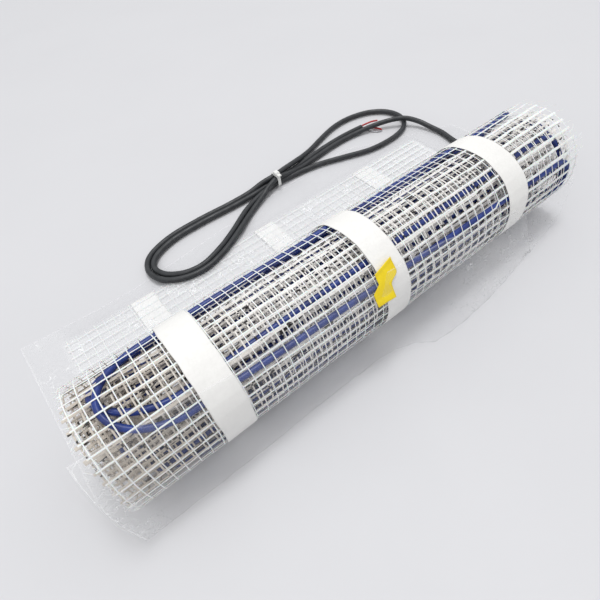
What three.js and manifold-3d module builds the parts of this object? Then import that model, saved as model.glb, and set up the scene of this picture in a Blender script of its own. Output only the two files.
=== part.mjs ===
import * as THREE from 'three';
import Module from 'manifold-3d';

// Driving dimensions, in mm. The roll lies along X on the floor z = 0.

const ROLL_LENGTH = 500;
const ROLL_OUTER_R = 54.2;
const BORE_R = 17;
const TURN_COUNT = 6;
const TURN_RIDGE = 3.2;
const TURN_RECESS = 5;
const ROLL_FACETS = 48;

const FILM_T = 0.4;
const TAPE_T = 0.5;
const MESH_T = 1.2;
const GAP = 0.3;

const CABLE_D = 5.5;
const CABLE_SIDES = 8;

const TAPE_WIDTH = 27;
const TAPE_INSET_LEFT = 86.5;
const TAPE_INSET_RIGHT = 93.5;
const TAPE_MIDDLE = -1.5;

const TAIL_END_Y = 165;
const TAPE_BACK_ANGLE = 18;

const LEAD_D = 6.8;
const LEAD_SIDES = 8;

const SLEEVE_D = 9;
const SLEEVE_LENGTH = 60;
const SLEEVE_INSET = 10;
const LAST_RUN_Y = 36;

// Each run's place on the mat, measured along it from the roll's lowest line, at the left and
// right turns. The last one lies on the flat free end.
const RUN_PLACES = [[-36, -36], [41, 33], [116, 105], [189, 187.5], [259, 259]];
const LEFT_TURN = { inset: 17, reach: 53, squareness: 2 };
const RIGHT_TURN = { inset: 8, reach: 37, squareness: 4 };
const TURN_STEPS = 10;
const RUN_STEPS = 3;

const TAG_T = 0.5;

const FILM_MARGIN_LEFT = 40;
const FILM_MARGIN_RIGHT = 70;

// Where the film rises at the roll's front: its place along X, how far in front of the axis it
// meets the floor, and the height of its upper edge.
const FILM_RISE = [
  [-262, 55, 100.6], [-250, 55, 100.4], [-163, 57, 94.4], [-60, 62, 91.5], [-27, 65, 90.6],
  [-10, 67, 90.4], [8, 74, 89.5], [24, 81, 87.5], [58, 82.5, 84.5], [92, 81, 77], [120, 78, 72],
  [150, 74, 66], [166, 71.5, 50], [176, 70, 12],
];
const FILM_RISE_POINTS = 16;

// Fits that follow from the numbers above.

const END_X = ROLL_LENGTH / 2;
const TAPE_CENTRES = [-END_X + TAPE_INSET_LEFT, TAPE_MIDDLE, END_X - TAPE_INSET_RIGHT];
const FILM_LEFT_X = -END_X - FILM_MARGIN_LEFT;
const FILM_RIGHT_X = END_X + FILM_MARGIN_RIGHT;
const SLEEVE_X1 = END_X - SLEEVE_INSET;
const SLEEVE_X0 = SLEEVE_X1 - SLEEVE_LENGTH;
const FILM_OUTER_R = ROLL_OUTER_R + GAP + FILM_T;
const AXIS_Z = FILM_OUTER_R;
const FILM_RISE_Z = FILM_T + 1.5 * GAP;
const TAPE_INNER_R = ROLL_OUTER_R - TAPE_T;
const CABLE_R = CABLE_D / 2;
const CABLE_PATH_R = TAPE_INNER_R - GAP - CABLE_R;
const TURNS_R = TAPE_INNER_R - 0.7;
const TAPE_FLAT_Z = FILM_T + GAP;
const TAIL_Z = TAPE_FLAT_Z + TAPE_T + GAP;
const TAIL_TOP_Z = TAIL_Z + MESH_T;
const TAIL_START_Y = Math.sqrt(TURNS_R ** 2 - (AXIS_Z - TAIL_TOP_Z - GAP) ** 2) + 0.2;
const CABLE_FLAT_Z = TAIL_TOP_Z + GAP + CABLE_R;
const LEAD_R = LEAD_D / 2;
const LEAD_FLOOR_Z = FILM_T + GAP + LEAD_R;
const LEAD_TAIL_Z = TAIL_TOP_Z + GAP + LEAD_R;
const SLEEVE_Z = TAIL_TOP_Z + GAP + SLEEVE_D / 2;

const rad = (deg) => deg * Math.PI / 180;

// A curve whose steps fall on its own points, so straight runs stay light.
class PointwiseCurve extends THREE.CatmullRomCurve3 {
  getUtoTmapping(u) {
    return u;
  }
}

function roundTube(points, radius, sides, phase = 0) {
  const shape = new THREE.Shape();
  for (let i = 0; i < sides; i += 1) {
    const a = phase + (2 * Math.PI * i) / sides;
    const x = radius * Math.cos(a);
    const y = radius * Math.sin(a);
    if (i === 0) shape.moveTo(x, y);
    else shape.lineTo(x, y);
  }
  shape.closePath();
  const path = new PointwiseCurve(points, false, 'centripetal');
  return new THREE.ExtrudeGeometry(shape, {
    steps: points.length - 1,
    bevelEnabled: false,
    extrudePath: path,
  });
}

// A flat outline in the plane across the roll, drawn out along X.
function alongX(shape, x0, x1, curveSegments = 24) {
  const g = new THREE.ExtrudeGeometry(shape, { depth: x1 - x0, bevelEnabled: false, curveSegments });
  g.applyMatrix4(new THREE.Matrix4().set(
    0, 0, 1, x0,
    1, 0, 0, 0,
    0, 1, 0, 0,
    0, 0, 0, 1,
  ));
  return g;
}

function toManifold(wasm, geometry) {
  const source = geometry.index ? geometry.toNonIndexed() : geometry;
  const pos = source.getAttribute('position');
  const seen = new Map();
  const verts = [];
  const tris = [];
  for (let i = 0; i < pos.count; i += 1) {
    const p = [pos.getX(i), pos.getY(i), pos.getZ(i)];
    const key = p.map((v) => Math.round(v * 1e4)).join('_');
    if (!seen.has(key)) {
      seen.set(key, verts.length / 3);
      verts.push(...p);
    }
    tris.push(seen.get(key));
  }
  const kept = [];
  for (let i = 0; i < tris.length; i += 3) {
    const [a, b, c] = [tris[i], tris[i + 1], tris[i + 2]];
    if (a !== b && b !== c && a !== c) kept.push(a, b, c);
  }
  return new wasm.Manifold(new wasm.Mesh({
    numProp: 3,
    vertProperties: new Float32Array(verts),
    triVerts: new Uint32Array(kept),
  }));
}

function fromManifold(solid) {
  const m = solid.getMesh();
  const g = new THREE.BufferGeometry();
  const flat = new Float32Array((m.vertProperties.length / m.numProp) * 3);
  for (let i = 0; i < flat.length / 3; i += 1) {
    for (let k = 0; k < 3; k += 1) flat[i * 3 + k] = m.vertProperties[i * m.numProp + k];
  }
  g.setAttribute('position', new THREE.BufferAttribute(flat, 3));
  g.setIndex(Array.from(m.triVerts));
  g.computeVertexNormals();
  return g;
}

// A point of the cable's line: x along the roll, place along the mat from the lowest line.
// In front of that line the mat goes up the roll, and behind it lies flat.
function onMat(x, place) {
  const lowest = AXIS_Z - CABLE_PATH_R;
  if (place < 0) {
    const t = Math.min(1, -place / 10);
    const rise = t * t * (3 - 2 * t);
    return new THREE.Vector3(x, -place, lowest + (CABLE_FLAT_Z - lowest) * rise);
  }
  const a = place / CABLE_PATH_R;
  return new THREE.Vector3(x, -CABLE_PATH_R * Math.sin(a), AXIS_Z - CABLE_PATH_R * Math.cos(a));
}

// A turn between two runs: half an ellipse, squarer where its squareness is above 2.
function turnPoints(side, turn, from, to) {
  const start = END_X - turn.inset - turn.reach;
  const n = turn.squareness;
  const pts = [];
  for (let i = 0; i <= TURN_STEPS; i += 1) {
    const c = Math.cos((Math.PI * i) / TURN_STEPS);
    const out = Math.max(0, 1 - Math.abs(c) ** n) ** (1 / n);
    pts.push(onMat(side * (start + turn.reach * out), (from + to) / 2 + ((from - to) / 2) * c));
  }
  return pts;
}

function runPoints(x0, x1, from, to) {
  const pts = [];
  for (let i = 1; i < RUN_STEPS; i += 1) {
    const t = i / RUN_STEPS;
    pts.push(onMat(x0 + (x1 - x0) * t, from + (to - from) * t));
  }
  return pts;
}

// The cable's line from the sleeve, run by run, to where the next turn of the roll covers it.
function cablePath() {
  const leftX = -(END_X - LEFT_TURN.inset - LEFT_TURN.reach);
  const rightX = END_X - RIGHT_TURN.inset - RIGHT_TURN.reach;
  const runs = RUN_PLACES;
  return [
    onMat(SLEEVE_X0 - GAP, runs[0][1]),
    ...runPoints(SLEEVE_X0 - GAP, leftX, runs[0][1], runs[0][0]),
    ...turnPoints(-1, LEFT_TURN, runs[0][0], runs[1][0]),
    ...runPoints(leftX, rightX, runs[1][0], runs[1][1]),
    ...turnPoints(1, RIGHT_TURN, runs[1][1], runs[2][1]),
    ...runPoints(rightX, leftX, runs[2][1], runs[2][0]),
    ...turnPoints(-1, LEFT_TURN, runs[2][0], runs[3][0]),
    ...runPoints(leftX, rightX, runs[3][0], runs[3][1]),
    ...turnPoints(1, RIGHT_TURN, runs[3][1], runs[4][1]),
    ...runPoints(rightX, leftX, runs[4][1], runs[4][0]),
    onMat(leftX, runs[4][0]),
  ];
}

// The mat's turns: one turned solid with its bore, the turns standing out on both ends.
function rollProfile() {
  const pitch = (TURNS_R - BORE_R) / TURN_COUNT;
  const half = ROLL_LENGTH / 2;
  const right = [];
  for (let i = 0; i < TURN_COUNT; i += 1) {
    const outer = TURNS_R - i * pitch;
    const last = i === TURN_COUNT - 1;
    const inner = last ? BORE_R : outer - TURN_RIDGE;
    const lift = i % 2 === 0 ? 0 : 2;
    right.push([outer, half - lift]);
    right.push([inner, half - lift]);
    if (!last) {
      right.push([inner, half - TURN_RECESS]);
      right.push([outer - pitch, half - TURN_RECESS]);
    }
  }
  const left = right.map(([r, x]) => [r, -x]).reverse();
  return [...right, ...left, right[0]].map(([r, x]) => new THREE.Vector2(r, x));
}

function rollTurns() {
  const g = new THREE.LatheGeometry(rollProfile(), ROLL_FACETS);
  g.applyMatrix4(new THREE.Matrix4().set(
    0, 1, 0, 0,
    0, 0, 1, 0,
    1, 0, 0, AXIS_Z,
    0, 0, 0, 1,
  ));
  return g;
}

// A tape strip: flat under the free end, then round the roll from below over the top.
function tapeShape() {
  const s = new THREE.Shape();
  const start = rad(-90 + TAPE_BACK_ANGLE);
  const end = rad(270);
  const outer = ROLL_OUTER_R;
  const flatTop = TAPE_FLAT_Z + TAPE_T;
  s.moveTo(TAIL_END_Y, TAPE_FLAT_Z);
  s.lineTo(TAIL_END_Y, flatTop);
  s.lineTo(0, flatTop);
  const steps = ROLL_FACETS;
  for (let i = 1; i <= steps; i += 1) {
    const a = end + ((start - end) * i) / steps;
    s.lineTo(TAPE_INNER_R * Math.cos(a), AXIS_Z + TAPE_INNER_R * Math.sin(a));
  }
  for (let i = 0; i < steps; i += 1) {
    const a = start + ((end - start) * i) / steps;
    s.lineTo(outer * Math.cos(a), AXIS_Z + outer * Math.sin(a));
  }
  s.lineTo(0, TAPE_FLAT_Z);
  s.closePath();
  return s;
}

// One section of the film at the roll's front: straight up from the floor to where it touches
// the roll, then round it to the upper edge. It gives the outer points and their normals.
function filmRise([, foot, topZ]) {
  const touch = 2 * Math.atan(foot / AXIS_Z) - Math.PI / 2;
  const touchZ = AXIS_Z + FILM_OUTER_R * Math.sin(touch);
  const straightTop = Math.min(topZ, touchZ);
  const topAngle = Math.asin((topZ - AXIS_Z) / FILM_OUTER_R);
  const straight = Math.max(0, straightTop - FILM_RISE_Z) / Math.cos(touch);
  const arc = topZ > touchZ ? FILM_OUTER_R * (topAngle - touch) : 0;
  const points = [];
  for (let i = 0; i <= FILM_RISE_POINTS; i += 1) {
    const run = ((straight + arc) * i) / FILM_RISE_POINTS;
    const a = touch + Math.max(0, run - straight) / FILM_OUTER_R;
    const below = Math.max(0, straight - run) + (touchZ - straightTop) / Math.cos(touch);
    const y = -FILM_OUTER_R * Math.cos(a) - below * Math.sin(touch);
    const z = AXIS_Z + FILM_OUTER_R * Math.sin(a) - below * Math.cos(touch);
    points.push([y, z, -Math.cos(a), Math.sin(a)]);
  }
  return points;
}

function flatOutline(points, z0, z1) {
  const s = new THREE.Shape(points.map(([x, y]) => new THREE.Vector2(x, y)));
  const g = new THREE.ExtrudeGeometry(s, { depth: z1 - z0, bevelEnabled: false });
  g.translate(0, 0, z0);
  return g;
}

// The film's sections joined into one thin sheet along X.
function filmFront() {
  const rows = FILM_RISE.length;
  const cols = FILM_RISE_POINTS + 1;
  const verts = [];
  for (const depth of [0, FILM_T]) {
    for (const station of FILM_RISE) {
      for (const [y, z, ny, nz] of filmRise(station)) {
        verts.push(station[0], y - ny * depth, z - nz * depth);
      }
    }
  }
  const outer = (i, j) => i * cols + j;
  const inner = (i, j) => rows * cols + i * cols + j;
  const faces = [];
  const quad = (a, b, c, d) => faces.push(a, b, c, a, c, d);
  for (let i = 0; i < rows - 1; i += 1) {
    for (let j = 0; j < cols - 1; j += 1) {
      quad(outer(i, j), outer(i + 1, j), outer(i + 1, j + 1), outer(i, j + 1));
      quad(inner(i, j), inner(i, j + 1), inner(i + 1, j + 1), inner(i + 1, j));
    }
    quad(outer(i, 0), inner(i, 0), inner(i + 1, 0), outer(i + 1, 0));
    quad(outer(i, cols - 1), outer(i + 1, cols - 1), inner(i + 1, cols - 1), inner(i, cols - 1));
  }
  for (let j = 0; j < cols - 1; j += 1) {
    quad(outer(0, j), outer(0, j + 1), inner(0, j + 1), inner(0, j));
    quad(outer(rows - 1, j), inner(rows - 1, j), inner(rows - 1, j + 1), outer(rows - 1, j + 1));
  }
  const g = new THREE.BufferGeometry();
  g.setAttribute('position', new THREE.Float32BufferAttribute(verts, 3));
  g.setIndex(faces);
  g.computeVertexNormals();
  return g;
}

// The film on the floor, seen from above.
const FILM_OUTLINE = [
  [-283, -3], [-277, -32], [-262, -57], [-163, -59], [-60, -64], [-27, -68], [-10, -71], [8, -77],
  [24, -84], [58, -84], [92, -83], [177, -72], [250, -58], [FILM_RIGHT_X, -34],
  [FILM_RIGHT_X, 150], [280, 165], [175, 214.7], [39, 206.3], [-163, 184], [-196, 184], [-237, 188],
  [FILM_LEFT_X, 195],
];

// The cold lead on the floor, from the sleeve to the right loop.
const LEAD_ROUTE = [
  [SLEEVE_X1 + 2 * GAP, LAST_RUN_Y, SLEEVE_Z],
  [SLEEVE_X1 + 6, LAST_RUN_Y, SLEEVE_Z],
  [254, 38, SLEEVE_Z - 0.3],
  [264, 45, 5.4],
  [273, 58, LEAD_FLOOR_Z],
  [279, 78, LEAD_FLOOR_Z],
  [283, 100, LEAD_FLOOR_Z],
  [286, 120, LEAD_FLOOR_Z],
  [291, 143, LEAD_FLOOR_Z],
  [290, 162, LEAD_FLOOR_Z],
  [285.5, 182, LEAD_FLOOR_Z],
];

// Outer shapes of the two loops, seen from above.
const RIGHT_LOOP = [
  [68, 213], [100, 214], [128, 207], [158, 193], [195, 181], [232, 178.5], [262, 184], [281, 196],
  [289, 212], [288, 238], [268, 261], [234, 272], [190, 269], [136, 250], [92, 231], [68, 227],
];
const LEFT_LOOP = [
  [67.5, 227], [56, 227], [40, 226], [3, 226], [-54, 229.5], [-99, 227], [-130, 213.5], [-140.5, 193],
  [-135, 167.5], [-114, 153], [-89, 149], [-60, 157], [-31, 172], [4, 193], [38, 209], [56, 213], [67.5, 213],
];
const LEFT_LOOP_Z0 = TAIL_TOP_Z + GAP;
const TIE_X = 61;
const TIE_Y = 220;

function tieSolid(wasm) {
  const w = 14;
  const z0 = LEFT_LOOP_Z0 - GAP;
  const z1 = LEFT_LOOP_Z0 + LEAD_D + GAP;
  const wall = 1.3;
  const half = w / 2 + GAP + 0.4;
  const outer = new THREE.Shape([
    new THREE.Vector2(TIE_Y - half - wall, z0 - wall),
    new THREE.Vector2(TIE_Y + half + wall, z0 - wall),
    new THREE.Vector2(TIE_Y + half + wall, z1 + wall),
    new THREE.Vector2(TIE_Y - half - wall, z1 + wall),
  ]);
  outer.holes.push(new THREE.Path([
    new THREE.Vector2(TIE_Y - half, z0),
    new THREE.Vector2(TIE_Y - half, z1),
    new THREE.Vector2(TIE_Y + half, z1),
    new THREE.Vector2(TIE_Y + half, z0),
  ]));
  const band = toManifold(wasm, alongX(outer, TIE_X - 2.3, TIE_X + 2.3));
  const head = new THREE.BoxGeometry(6.5, 7, 5);
  head.translate(TIE_X, TIE_Y - 2, z1 + wall + 2);
  return band.add(toManifold(wasm, head));
}

// The folded tag: two flaps, each flat against the roll at its middle.
function tagSolid(wasm) {
  const flap = (x, deg, along, around, extra) => {
    const b = new THREE.BoxGeometry(along, TAG_T, around);
    b.translate(0, -(FILM_OUTER_R + GAP + extra + TAG_T / 2), 0);
    b.rotateX(-rad(deg));
    b.translate(x, 0, AXIS_Z);
    return toManifold(wasm, b);
  };
  return flap(-7, 40, 20, 13, 0).add(flap(-20, 28, 19, 21, 0));
}

function mesh(name, geometry, color, roughness = 0.7) {
  const m = new THREE.Mesh(geometry, new THREE.MeshStandardMaterial({ color, roughness }));
  m.name = name;
  return m;
}

const wasm = await Module();
wasm.setup();
const group = new THREE.Group();
group.name = 'underfloor_heating_mat';

const path = cablePath();
const groove = toManifold(wasm, roundTube(path, CABLE_R + GAP + 0.05, CABLE_SIDES));
const turns = toManifold(wasm, rollTurns()).subtract(groove);
group.add(mesh('mat_roll', fromManifold(turns), 0xdcdcd8));

const tail = new THREE.BoxGeometry(ROLL_LENGTH, TAIL_END_Y - TAIL_START_Y, MESH_T);
tail.translate(0, (TAIL_END_Y + TAIL_START_Y) / 2, TAIL_Z + MESH_T / 2);
group.add(mesh('mat_tail', tail, 0xe2e2de));

group.add(mesh('heating_cable', roundTube(path, CABLE_R, CABLE_SIDES), 0x1c3c96, 0.4));

const names = ['tape_left', 'tape_middle', 'tape_right'];
TAPE_CENTRES.forEach((x, i) => {
  group.add(mesh(names[i], alongX(tapeShape(), x - TAPE_WIDTH / 2, x + TAPE_WIDTH / 2), 0xf2f0ec));
});

const sleeve = new THREE.CylinderGeometry(SLEEVE_D / 2, SLEEVE_D / 2, SLEEVE_X1 - SLEEVE_X0, 16);
sleeve.rotateZ(Math.PI / 2);
sleeve.translate((SLEEVE_X0 + SLEEVE_X1) / 2, LAST_RUN_Y, SLEEVE_Z);
group.add(mesh('splice_sleeve', sleeve, 0x1a1a1c));

const lead = LEAD_ROUTE.map((p) => new THREE.Vector3(...p));
group.add(mesh('cold_lead', roundTube(lead, LEAD_R, LEAD_SIDES), 0x2c2e31, 0.5));
const floorZ = LEAD_FLOOR_Z - LEAD_R;
group.add(mesh('lead_hank_right', flatOutline(RIGHT_LOOP, floorZ, floorZ + LEAD_D), 0x2c2e31, 0.5));
const leftTop = LEFT_LOOP_Z0 + LEAD_D;
group.add(mesh('lead_hank_left', flatOutline(LEFT_LOOP, LEFT_LOOP_Z0, leftTop), 0x2c2e31, 0.5));
group.add(mesh('cable_tie', fromManifold(tieSolid(wasm)), 0xf0f0ec));

const wireZ = floorZ + LEAD_D + GAP;
const wire = (name, pts, r, color) => {
  const line = pts.map(([x, y]) => new THREE.Vector3(x, y, wireZ + r));
  group.add(mesh(name, roundTube(line, r, 6), color, 0.4));
};
wire('conductor_a', [[231, 236], [238, 238], [246, 239], [254, 238]], 1.4, 0xb3282a);
wire('conductor_b', [[231, 231], [239, 231], [248, 231], [257, 230]], 1.4, 0xb3282a);
wire('screen_wire', [[230, 226], [235, 219], [240, 213], [243, 206]], 0.9, 0x8a8c8e);

group.add(mesh('cable_tag', fromManifold(tagSolid(wasm)), 0xe6c80a));
group.add(mesh('film_sheet', flatOutline(FILM_OUTLINE, 0, FILM_T), 0xdfe5ea, 0.1));
group.add(mesh('film_front', filmFront(), 0xdfe5ea, 0.1));

export default group;
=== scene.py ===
"""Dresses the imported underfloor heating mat: threads, cable, tape, film, lead, studio and camera.

The roll lies along X on the floor z = 0. Its mat is described by two lengths: x, along the roll,
and s, along the mat from the roll's lowest line. Where s is below zero the mat lies flat behind
the roll, and where it is above zero the mat winds up the front and inwards as a spiral.
"""

import math

import bpy
import numpy as np
from mathutils import Matrix, Vector


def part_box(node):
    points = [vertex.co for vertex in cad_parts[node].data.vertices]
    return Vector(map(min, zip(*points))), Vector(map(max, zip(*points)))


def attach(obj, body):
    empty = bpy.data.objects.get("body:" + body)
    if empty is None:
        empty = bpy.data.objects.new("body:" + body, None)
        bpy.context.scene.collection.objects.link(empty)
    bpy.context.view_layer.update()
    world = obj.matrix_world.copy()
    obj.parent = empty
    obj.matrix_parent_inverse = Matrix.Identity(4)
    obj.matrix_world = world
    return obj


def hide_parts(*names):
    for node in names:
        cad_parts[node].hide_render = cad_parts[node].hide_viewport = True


bl_info = {
    "name": "Underfloor heating mat",
    "version": (1, 0, 0),
    "blender": (4, 5, 0),
    "location": "3D View > Sidebar > Heating Mat",
    "description": "Builds the rolled heating mat's looks over its packed frame",
    "category": "Object",
}

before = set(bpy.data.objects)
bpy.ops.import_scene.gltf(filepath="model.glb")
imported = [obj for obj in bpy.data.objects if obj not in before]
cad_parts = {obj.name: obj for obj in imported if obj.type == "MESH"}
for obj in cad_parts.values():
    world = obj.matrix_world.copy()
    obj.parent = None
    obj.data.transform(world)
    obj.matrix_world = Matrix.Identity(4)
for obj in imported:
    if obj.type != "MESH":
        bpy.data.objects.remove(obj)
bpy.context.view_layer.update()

MM = 0.001

# What the frame gives: the roll, its tape and its cable, in metres.
ROLL_LOW, ROLL_HIGH = (Vector(c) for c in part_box("mat_roll"))
TAPE_HIGH = Vector(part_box("tape_middle")[1])
TAIL_HIGH = Vector(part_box("mat_tail")[1])
FILM_LOW, FILM_HIGH = (Vector(c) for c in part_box("film_sheet"))
SLEEVE_LOW, SLEEVE_HIGH = (Vector(c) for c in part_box("splice_sleeve"))
END_X = ROLL_HIGH.x
AXIS_Z = (ROLL_LOW.z + ROLL_HIGH.z) / 2
TURNS_R = (ROLL_HIGH.z - ROLL_LOW.z) / 2
TAPE_R = TAPE_HIGH.z - AXIS_Z
TAIL_END = TAIL_HIGH.y

MESH_R = TURNS_R + 0.35 * MM
TURN_PITCH = 6 * MM
TURNS = 6
LAYER_LIFT = 3.4 * MM
THREAD_PITCH = 10 * MM
FIRST_THREAD = 0.4 * MM
THREAD_HALF_HEIGHT = 0.16 * MM
CROSSING_DEPTH = 0.12 * MM
CABLE_R = 2.7 * MM
CABLE_DEPTH = 3.1 * MM
SEED = 7

# The cable's runs, as places along the mat at the left and the right turns.
RUN_PLACES = [
    (a * MM, b * MM) for a, b in
    ((-36, -36), (41, 33), (116, 105), (189, 187.5), (259, 259), (342, 342), (432, 438))
]
INNER_RUN_SPACING = 74 * MM
LEFT_TURN = (17 * MM, 53 * MM, 2)
RIGHT_TURN = (8 * MM, 37 * MM, 4)

LEAD_R = 3.4 * MM
TIE_AT = Vector((61, 221, 0)) * MM

# The lead's line in mm, from the sleeve to its bare end, in the order in which it runs.
LEAD_FROM_SLEEVE = [
    (240.6, 36, 7.5), (246, 36, 7.5), (254, 38, 7.2), (264, 45, 5.4), (273, 58, 4.1),
    (279, 78, 4.1), (283, 100, 4.1), (286, 120, 4.1), (291, 143, 4.1), (290, 162, 5.2),
    (285.5, 182, 8.6), (276, 198, 11.3), (263, 209, 10.6), (247, 218, 8.6), (228, 225, 6.4),
    (208, 229.5, 4.5), (186, 231, 4.1), (160, 229.5, 4.1), (132, 226, 4.1), (104, 222, 4.8),
    (82, 219, 8.6),
]
LEAD_LOOP_OUTER = [
    (61, 217.5, 11.9), (46, 213.5, 10.6), (30, 207.5, 6.4), (2, 194, 4.1), (-32, 172, 6.2),
    (-60, 157, 6.6), (-89, 148.6, 6.6), (-115, 152.6, 6.6), (-135, 168, 6.4), (-140.4, 193, 4.6),
    (-130, 213, 4.1), (-99, 226.5, 4.1), (-54, 229.3, 4.1), (-10, 227.5, 4.1), (22, 226.6, 5.6),
    (42, 226, 9.8),
]
LEAD_RIGHT_LOOP = [
    (61, 224.5, 11.9), (80, 227.5, 11.9), (100, 230.5, 11.4), (119, 238, 7.2), (140, 246.5, 4.3),
    (165, 256, 4.1), (191, 264.6, 4.1), (214, 268.4, 4.1), (237, 267, 4.1), (262, 258.5, 4.1),
    (279, 243, 4.1), (285, 225, 4.1), (281, 206, 4.1), (266, 191.5, 4.1), (247, 184.6, 4.1),
    (222, 182.6, 4.1), (194, 185.6, 4.1), (161, 197.6, 4.1), (128, 209.6, 4.1), (104, 214.6, 4.1),
    (80, 216.6, 4.6),
]
LEAD_LOOP_INNER = [
    (61, 217.5, 5.0), (44, 216.4, 4.8), (28, 213.4, 4.1), (0, 202, 4.1), (-36, 179, 5.2),
    (-63, 164, 6.5), (-90, 155.6, 6.6), (-111, 159, 6.6), (-128, 172.6, 6.4), (-133.2, 192.6, 4.6),
    (-124.6, 207.6, 4.1), (-97, 219.6, 4.1), (-54, 222.4, 4.1), (-10, 220.6, 4.1), (24, 220.8, 4.3),
    (44, 222.6, 4.8),
]
LEAD_END = [
    (61, 224.5, 5.0), (82, 226, 4.6), (104, 229, 4.1), (132, 233, 4.1), (160, 236.4, 4.1),
    (190, 238, 4.1), (212, 237.4, 4.1), (226, 236.4, 4.1),
]

# The film's rise at the roll's front, in mm: its place along X, how far in front of the axis it
# leaves the floor, and the height of its upper edge.
FILM_RISE = [
    (-262, 57, 100.6), (-250, 57, 100.4), (-163, 58, 94.4), (-60, 58, 91.5), (-27, 59, 90.6),
    (-10, 61, 90.4), (8, 68, 89.5), (24, 80, 87.5), (58, 82.5, 84.5), (92, 81, 77), (120, 78, 72),
    (150, 74, 66), (166, 71.5, 50), (176, 70, 12), (180, 70, 0), (250, 58, 0), (320, 34, 0),
]
FILM_BACK = [(-290, 195), (-237, 188), (-196, 184), (-163, 184), (39, 206), (175, 214), (280, 165),
             (320, 150)]
FILM_LEFT = [(-57, -262), (-32, -277), (-3, -283), (195, -290)]
FILM_LOW_Z = 0.3
FILM_CLEARANCE = 0.35

# The camera, fitted to the photograph: what it looks at on the floor, its angles and its lens.
CAMERA_TARGET = Vector((-38, 46, 0)) * MM
CAMERA_AZIMUTH = -30.968
CAMERA_ELEVATION = 50.768
CAMERA_DISTANCE = 451.9 * MM
CAMERA_ROLL = -9.258
CAMERA_LENS = 26.26
SENSOR_WIDTH = 36.0


# Shapes


def smooth(t):
    """An eased step from 0 to 1."""
    t = np.clip(t, 0.0, 1.0)
    return t * t * (3 - 2 * t)


class Ripple:
    """A smooth, repeatable ripple of two lengths, from -1 to 1, made of a few sine waves."""

    def __init__(self, seed, wavelength, terms=7):
        rng = np.random.default_rng(seed)
        angle = rng.uniform(0, 2 * math.pi, terms)
        k = 2 * math.pi / (wavelength * rng.uniform(0.6, 1.9, terms))
        self.kx, self.ks = k * np.cos(angle), k * np.sin(angle)
        self.phase = rng.uniform(0, 2 * math.pi, terms)
        self.share = 1.0 / terms

    def __call__(self, x, s):
        x, s = np.broadcast_arrays(np.asarray(x, float), np.asarray(s, float))
        waves = np.sin(x[..., None] * self.kx + s[..., None] * self.ks + self.phase)
        return waves.sum(-1) * self.share * 1.6


SAG_RIPPLE = Ripple(SEED, 90 * MM)
FINE_RIPPLE = Ripple(SEED + 1, 28 * MM)
EDGE_RIPPLE = Ripple(SEED + 2, 60 * MM)
SHIFT_RIPPLE = Ripple(SEED + 3, 420 * MM)


def turn_angle(s):
    """How far round the roll the mat has wound at s, in radians from the lowest line."""
    s = np.maximum(np.asarray(s, float), 0)
    under = np.maximum(MESH_R**2 - TURN_PITCH * s / math.pi, 1e-9)
    return (MESH_R - np.sqrt(under)) * 2 * math.pi / TURN_PITCH


def length_at(angle):
    return MESH_R * angle - TURN_PITCH * angle**2 / (4 * math.pi)


def on_mat(x, s, depth=0.0):
    """Points of the mat, and their outward normals. depth goes from the mat's outer face inwards."""
    x, s, depth = np.broadcast_arrays(
        np.asarray(x, float), np.asarray(s, float), np.asarray(depth, float)
    )
    angle = turn_angle(s)
    turn = angle / (2 * math.pi)
    radius = MESH_R - TURN_PITCH * turn
    inner = np.clip(turn, 0, 1)
    radius = radius + (0.22 + 0.75 * inner) * MM * SAG_RIPPLE(x, s)
    radius = radius + (0.10 + 0.25 * inner) * MM * FINE_RIPPLE(x, s)
    over = length_at(np.maximum(angle - 2 * math.pi, 0))
    lift = LAYER_LIFT * inner * between_runs(over)
    radius = radius + lift - between_runs(s) * (0.5 + 0.5 * inner) * MM
    radius = np.minimum(radius, MESH_R - TURN_PITCH * turn + lift + 0.25 * MM)
    x = x + np.clip(turn - 0.4, 0, 1) * 7 * MM * SHIFT_RIPPLE(0, s)
    radius = radius - depth
    flat = s < 0
    lowest = AXIS_Z - MESH_R
    hump = 0.5 * MM * (1 + SAG_RIPPLE(x, s)) * smooth(-s / (40 * MM))
    y = np.where(flat, -s, -radius * np.sin(angle))
    z = np.where(flat, lowest + depth + hump, AXIS_Z - radius * np.cos(angle))
    ny = np.where(flat, 0, -np.sin(angle))
    nz = np.where(flat, -1, -np.cos(angle))
    return np.stack([x, y, z], -1), np.stack([np.zeros_like(x), ny, nz], -1)


def between_runs(s):
    """0 over a run of the cable and 1 midway between two."""
    gap = np.full(np.shape(s), 1.0)
    for left, right in run_places():
        gap = np.minimum(gap, np.abs(s - (left + right) / 2))
    return smooth(gap / (30 * MM))


def run_places():
    """Every run of the cable to the inner end of the mat."""
    places = list(RUN_PLACES)
    last = length_at(2 * math.pi * (TURNS - 0.5))
    while places[-1][0] + INNER_RUN_SPACING < last:
        left, right = places[-1]
        places.append((left + INNER_RUN_SPACING, right + INNER_RUN_SPACING))
    return places


def beside_runs(x, place):
    """A thread's line along the roll, moved aside where it would lie over a run of the cable."""
    line = np.full(np.shape(x), float(place))
    for left, right in run_places():
        run = left + (right - left) * (x + END_X) / (2 * END_X)
        side = 1 if place >= (left + right) / 2 else -1
        free = side * (line - run)
        push = np.clip(CABLE_R + 0.9 * MM - free, 0, CABLE_R + 0.9 * MM) * (free > -CABLE_R)
        line = line + side * push * smooth((END_X - 34 * MM - np.abs(x)) / (22 * MM))
    return line


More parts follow.
